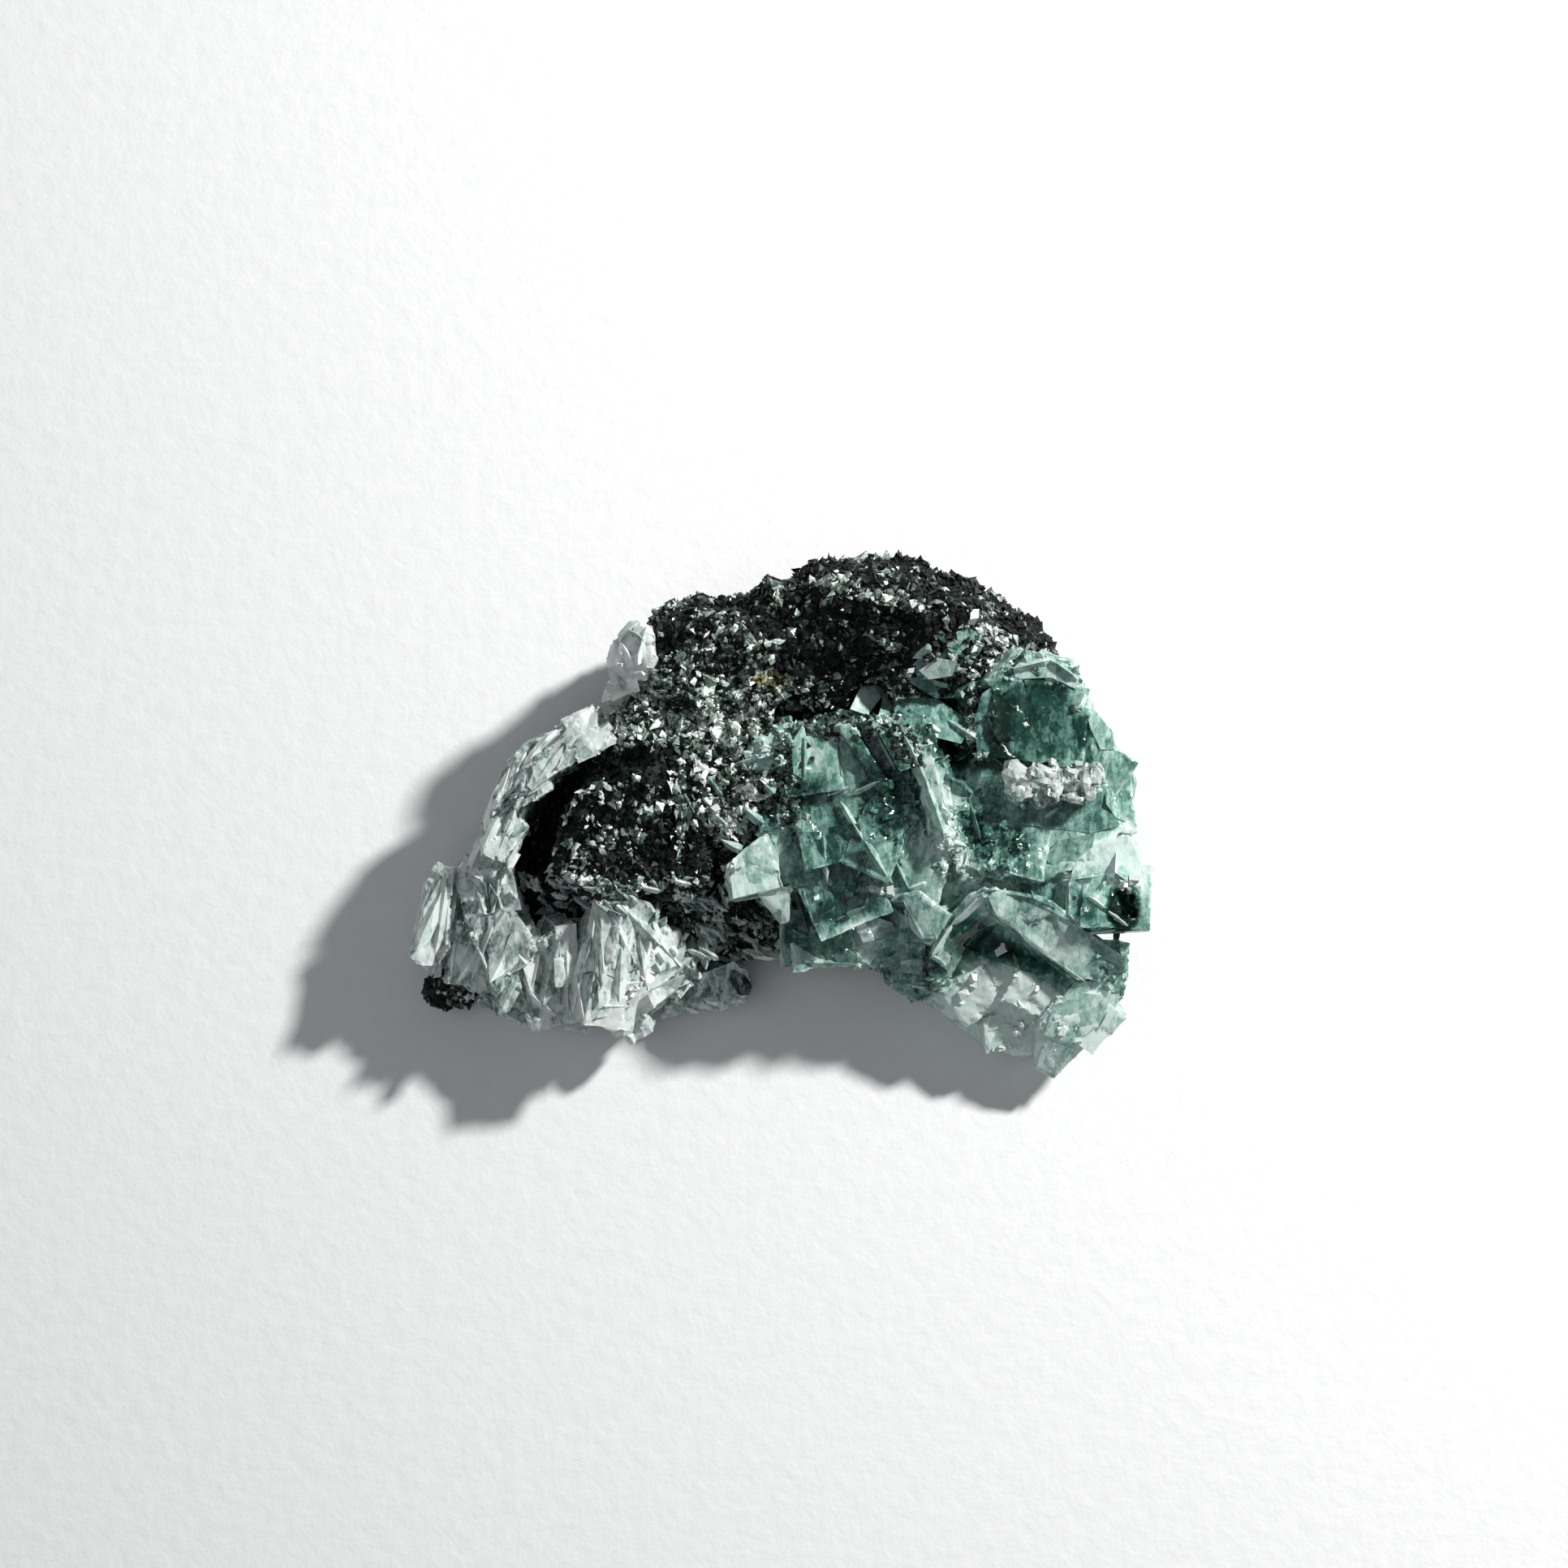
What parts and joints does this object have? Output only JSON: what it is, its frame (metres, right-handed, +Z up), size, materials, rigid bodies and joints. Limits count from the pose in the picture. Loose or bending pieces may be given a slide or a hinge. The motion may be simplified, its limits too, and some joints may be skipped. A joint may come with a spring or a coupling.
{
  "type": "fluorite specimen on matrix",
  "caption": "Hand specimen of intergrown green cubic crystals and colourless jagged crystals on a dark granular rock, resting on its flat cut underside.",
  "frame": {"origin": "on the flat cut underside, below the middle of the specimen's length and depth", "axes": "+X along the longest side towards the green shoulder, +Y across it towards the dark rock ridge, +Z up from the flat underside"},
  "size_m": [0.0595, 0.0418, 0.0215],
  "materials": {
    "matrix": "rough granular, glittering",
    "green_fluorite": "natural crystal and cleavage faces, partly rough",
    "clear_fluorite": "broken glassy faces"
  },
  "bodies": {
    "root": {"matrix": "matrix", "green_fluorite": "green_fluorite", "clear_fluorite": "clear_fluorite", "knob_fluorite": "clear_fluorite"}
  },
  "joints": []
}
